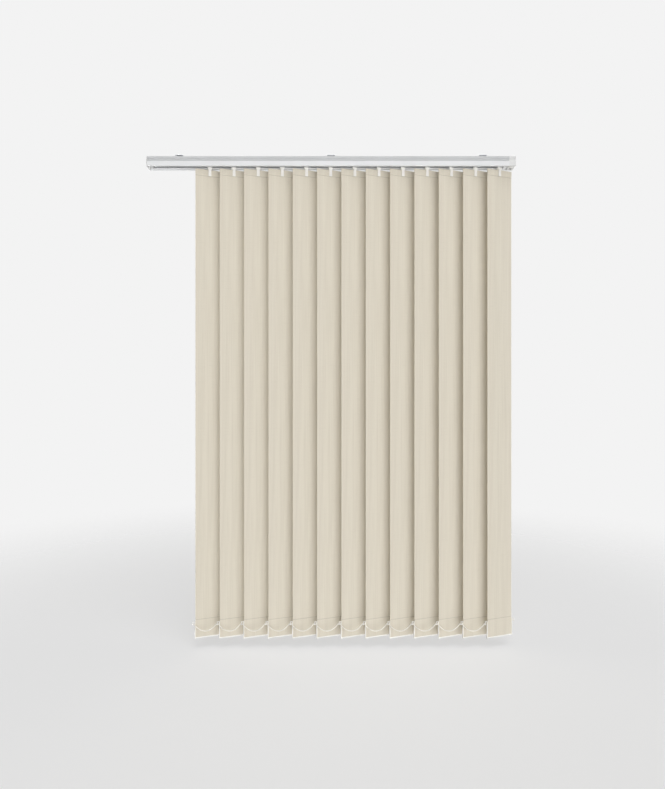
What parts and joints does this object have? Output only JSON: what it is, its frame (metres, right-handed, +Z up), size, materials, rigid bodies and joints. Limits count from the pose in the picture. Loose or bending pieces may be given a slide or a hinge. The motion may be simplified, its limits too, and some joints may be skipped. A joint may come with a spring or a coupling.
{
  "type": "vertical blind",
  "caption": "Ceiling-fixed headrail with geared carriers that turn and gather a row of hanging fabric vanes, linked below by two bottom chains.",
  "frame": {"origin": "centre of the ceiling fixing, on the ceiling, above the middle of the headrail", "axes": "+X along the rail towards the stacking and control end, -Y to the room, +Z up"},
  "size_m": [1.1597, 0.042, 1.5103],
  "materials": {
    "rail_finish": "white satin coat",
    "bracket_steel": "zinc plated",
    "moulded_white": "satin moulded",
    "moulded_grey": "satin moulded",
    "rod_aluminium": "mill",
    "vane_fabric": "plain woven polyester, stiffened",
    "chain_white": "moulded beads"
  },
  "bodies": {
    "root": {"headrail": "rail_finish", "brackets": "bracket_steel", "end_cap": "moulded_white", "control_end": "moulded_white", "carrier_13": "moulded_grey"},
    "tilt_rod": {"tilt_rod": "rod_aluminium", "drive_sprocket": "moulded_grey"},
    "truck_01": {"carrier_01": "moulded_grey"},
    "truck_02": {"carrier_02": "moulded_grey"},
    "truck_03": {"carrier_03": "moulded_grey"},
    "truck_04": {"carrier_04": "moulded_grey"},
    "truck_05": {"carrier_05": "moulded_grey"},
    "truck_06": {"carrier_06": "moulded_grey"},
    "truck_07": {"carrier_07": "moulded_grey"},
    "truck_08": {"carrier_08": "moulded_grey"},
    "truck_09": {"carrier_09": "moulded_grey"},
    "truck_10": {"carrier_10": "moulded_grey"},
    "truck_11": {"carrier_11": "moulded_grey"},
    "truck_12": {"carrier_12": "moulded_grey"},
    "blade_01": {"hook_01": "moulded_white", "vane_01": "vane_fabric", "weight_01": "moulded_white"},
    "blade_02": {"hook_02": "moulded_white", "vane_02": "vane_fabric", "weight_02": "moulded_white"},
    "blade_03": {"hook_03": "moulded_white", "vane_03": "vane_fabric", "weight_03": "moulded_white"},
    "blade_04": {"hook_04": "moulded_white", "vane_04": "vane_fabric", "weight_04": "moulded_white"},
    "blade_05": {"hook_05": "moulded_white", "vane_05": "vane_fabric", "weight_05": "moulded_white"},
    "blade_06": {"hook_06": "moulded_white", "vane_06": "vane_fabric", "weight_06": "moulded_white"},
    "blade_07": {"hook_07": "moulded_white", "vane_07": "vane_fabric", "weight_07": "moulded_white"},
    "blade_08": {"hook_08": "moulded_white", "vane_08": "vane_fabric", "weight_08": "moulded_white"},
    "blade_09": {"hook_09": "moulded_white", "vane_09": "vane_fabric", "weight_09": "moulded_white"},
    "blade_10": {"hook_10": "moulded_white", "vane_10": "vane_fabric", "weight_10": "moulded_white"},
    "blade_11": {"hook_11": "moulded_white", "vane_11": "vane_fabric", "weight_11": "moulded_white"},
    "blade_12": {"hook_12": "moulded_white", "vane_12": "vane_fabric", "weight_12": "moulded_white"},
    "blade_13": {"hook_13": "moulded_white", "vane_13": "vane_fabric", "weight_13": "moulded_white"},
    "front_chain": {"front_chain": "chain_white"},
    "back_chain": {"back_chain": "chain_white"}
  },
  "joints": [
    {"name": "traverse", "type": "slide", "parent": "root", "child": "truck_01", "axis": [1, 0, 0], "range_m": [0, 0.708], "deforming": ["front_chain", "back_chain"]},
    {"name": "run_02", "type": "slide", "parent": "root", "child": "truck_02", "axis": [1, 0, 0], "range_m": [0, 0.649]},
    {"name": "run_03", "type": "slide", "parent": "root", "child": "truck_03", "axis": [1, 0, 0], "range_m": [0, 0.59]},
    {"name": "run_04", "type": "slide", "parent": "root", "child": "truck_04", "axis": [1, 0, 0], "range_m": [0, 0.531]},
    {"name": "run_05", "type": "slide", "parent": "root", "child": "truck_05", "axis": [1, 0, 0], "range_m": [0, 0.472]},
    {"name": "run_06", "type": "slide", "parent": "root", "child": "truck_06", "axis": [1, 0, 0], "range_m": [0, 0.413]},
    {"name": "run_07", "type": "slide", "parent": "root", "child": "truck_07", "axis": [1, 0, 0], "range_m": [0, 0.354]},
    {"name": "run_08", "type": "slide", "parent": "root", "child": "truck_08", "axis": [1, 0, 0], "range_m": [0, 0.295]},
    {"name": "run_09", "type": "slide", "parent": "root", "child": "truck_09", "axis": [1, 0, 0], "range_m": [0, 0.236]},
    {"name": "run_10", "type": "slide", "parent": "root", "child": "truck_10", "axis": [1, 0, 0], "range_m": [0, 0.177]},
    {"name": "run_11", "type": "slide", "parent": "root", "child": "truck_11", "axis": [1, 0, 0], "range_m": [0, 0.118]},
    {"name": "run_12", "type": "slide", "parent": "root", "child": "truck_12", "axis": [1, 0, 0], "range_m": [0, 0.059]},
    {"name": "turn_01", "type": "hinge", "parent": "truck_01", "child": "blade_01", "pos_m": [-0.3816, 0, -0.036], "axis": [0, 0, 1], "range_deg": [-5, 145]},
    {"name": "turn_02", "type": "hinge", "parent": "truck_02", "child": "blade_02", "pos_m": [-0.3056, 0, -0.036], "axis": [0, 0, 1], "range_deg": [-5, 145]},
    {"name": "turn_03", "type": "hinge", "parent": "truck_03", "child": "blade_03", "pos_m": [-0.2296, 0, -0.036], "axis": [0, 0, 1], "range_deg": [-5, 145]},
    {"name": "turn_04", "type": "hinge", "parent": "truck_04", "child": "blade_04", "pos_m": [-0.1536, 0, -0.036], "axis": [0, 0, 1], "range_deg": [-5, 145]},
    {"name": "turn_05", "type": "hinge", "parent": "truck_05", "child": "blade_05", "pos_m": [-0.0776, 0, -0.036], "axis": [0, 0, 1], "range_deg": [-5, 145]},
    {"name": "turn_06", "type": "hinge", "parent": "truck_06", "child": "blade_06", "pos_m": [-0.0016, 0, -0.036], "axis": [0, 0, 1], "range_deg": [-5, 145]},
    {"name": "turn_07", "type": "hinge", "parent": "truck_07", "child": "blade_07", "pos_m": [0.0744, 0, -0.036], "axis": [0, 0, 1], "range_deg": [-5, 145]},
    {"name": "turn_08", "type": "hinge", "parent": "truck_08", "child": "blade_08", "pos_m": [0.1504, 0, -0.036], "axis": [0, 0, 1], "range_deg": [-5, 145]},
    {"name": "turn_09", "type": "hinge", "parent": "truck_09", "child": "blade_09", "pos_m": [0.2264, 0, -0.036], "axis": [0, 0, 1], "range_deg": [-5, 145]},
    {"name": "turn_10", "type": "hinge", "parent": "truck_10", "child": "blade_10", "pos_m": [0.3024, 0, -0.036], "axis": [0, 0, 1], "range_deg": [-5, 145]},
    {"name": "turn_11", "type": "hinge", "parent": "truck_11", "child": "blade_11", "pos_m": [0.3784, 0, -0.036], "axis": [0, 0, 1], "range_deg": [-5, 145]},
    {"name": "turn_12", "type": "hinge", "parent": "truck_12", "child": "blade_12", "pos_m": [0.4544, 0, -0.036], "axis": [0, 0, 1], "range_deg": [-5, 145]},
    {"name": "tilt", "type": "hinge", "parent": "root", "child": "blade_13", "pos_m": [0.5304, 0, -0.036], "axis": [0, 0, 1], "range_deg": [-5, 145]},
    {"name": "rod_spin", "type": "hinge", "parent": "root", "child": "tilt_rod", "pos_m": [0, 0.0094, -0.0208], "axis": [1, 0, 0], "range_deg": [-30, 870]},
    {"name": "front_chain_pivot", "type": "hinge", "parent": "blade_13", "child": "front_chain", "pos_m": [0.48107, -0.01796, -1.4653], "axis": [0, 0, 1], "range_deg": [-145, 5]},
    {"name": "back_chain_pivot", "type": "hinge", "parent": "blade_13", "child": "back_chain", "pos_m": [0.57973, 0.01796, -1.4653], "axis": [0, 0, 1], "range_deg": [-145, 5]}
  ],
  "couplings": [
    {"joint": "run_02", "follows": "traverse", "ratio": 0.91667},
    {"joint": "run_03", "follows": "traverse", "ratio": 0.83333},
    {"joint": "run_04", "follows": "traverse", "ratio": 0.75},
    {"joint": "run_05", "follows": "traverse", "ratio": 0.66667},
    {"joint": "run_06", "follows": "traverse", "ratio": 0.58333},
    {"joint": "run_07", "follows": "traverse", "ratio": 0.5},
    {"joint": "run_08", "follows": "traverse", "ratio": 0.41667},
    {"joint": "run_09", "follows": "traverse", "ratio": 0.33333},
    {"joint": "run_10", "follows": "traverse", "ratio": 0.25},
    {"joint": "run_11", "follows": "traverse", "ratio": 0.16667},
    {"joint": "run_12", "follows": "traverse", "ratio": 0.083333},
    {"joint": "turn_01", "follows": "tilt", "ratio": 1},
    {"joint": "turn_02", "follows": "tilt", "ratio": 1},
    {"joint": "turn_03", "follows": "tilt", "ratio": 1},
    {"joint": "turn_04", "follows": "tilt", "ratio": 1},
    {"joint": "turn_05", "follows": "tilt", "ratio": 1},
    {"joint": "turn_06", "follows": "tilt", "ratio": 1},
    {"joint": "turn_07", "follows": "tilt", "ratio": 1},
    {"joint": "turn_08", "follows": "tilt", "ratio": 1},
    {"joint": "turn_09", "follows": "tilt", "ratio": 1},
    {"joint": "turn_10", "follows": "tilt", "ratio": 1},
    {"joint": "turn_11", "follows": "tilt", "ratio": 1},
    {"joint": "turn_12", "follows": "tilt", "ratio": 1},
    {"joint": "rod_spin", "follows": "tilt", "ratio": 6},
    {"joint": "front_chain_pivot", "follows": "tilt", "ratio": -1},
    {"joint": "back_chain_pivot", "follows": "tilt", "ratio": -1}
  ]
}
